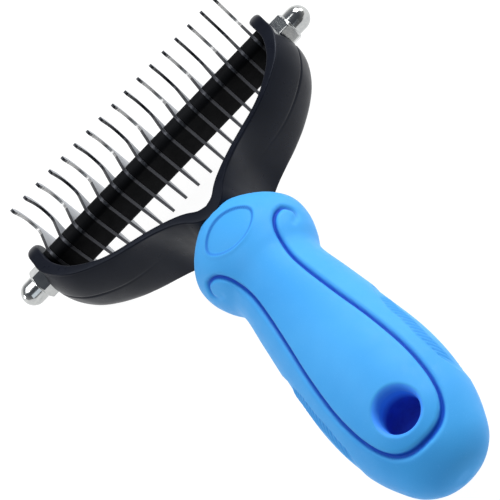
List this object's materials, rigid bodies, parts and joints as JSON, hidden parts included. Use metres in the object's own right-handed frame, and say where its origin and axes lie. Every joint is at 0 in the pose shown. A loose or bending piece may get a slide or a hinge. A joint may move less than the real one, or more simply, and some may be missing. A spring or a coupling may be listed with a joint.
{
  "type": "undercoat rake",
  "caption": "Hand rake for combing out loose undercoat: hooked steel blades clamped on a rod across a two-armed moulded yoke, with a soft contoured grip and a hanging hole",
  "frame": {"origin": "middle of the hanging hole, on its axis and at half the thickness of the grip", "axes": "+X along the blade rod, +Y from the hanging hole towards the blades, +Z the way the claws point, along the axis of the hanging hole"},
  "size_m": [0.1056, 0.1487, 0.0301],
  "materials": {
    "blade_steel": "polished stainless sheet, ground edges",
    "spacer_plastic": "black satin moulding",
    "rod_steel": "plain threaded rod",
    "nut_chrome": "bright nickel plated domed nut",
    "yoke_plastic": "black satin moulding with a faint parting line",
    "grip_rubber": "matt blue thermoplastic rubber"
  },
  "bodies": {
    "root": {"blade_01": "blade_steel", "blade_02": "blade_steel", "blade_03": "blade_steel", "blade_04": "blade_steel", "blade_05": "blade_steel", "blade_06": "blade_steel", "blade_07": "blade_steel", "blade_08": "blade_steel", "blade_09": "blade_steel", "blade_10": "blade_steel", "blade_11": "blade_steel", "blade_12": "blade_steel", "blade_13": "blade_steel", "blade_14": "blade_steel", "blade_15": "blade_steel", "blade_16": "blade_steel", "blade_17": "blade_steel", "spacer_01": "spacer_plastic", "spacer_02": "spacer_plastic", "spacer_03": "spacer_plastic", "spacer_04": "spacer_plastic", "spacer_05": "spacer_plastic", "spacer_06": "spacer_plastic", "spacer_07": "spacer_plastic", "spacer_08": "spacer_plastic", "spacer_09": "spacer_plastic", "spacer_10": "spacer_plastic", "spacer_11": "spacer_plastic", "spacer_12": "spacer_plastic", "spacer_13": "spacer_plastic", "spacer_14": "spacer_plastic", "spacer_15": "spacer_plastic", "spacer_16": "spacer_plastic", "spacer_17": "spacer_plastic", "spacer_18": "spacer_plastic", "clamp_rod": "rod_steel", "dome_nut_left": "nut_chrome", "dome_nut_right": "nut_chrome", "yoke": "yoke_plastic", "grip": "grip_rubber"}
  },
  "joints": []
}
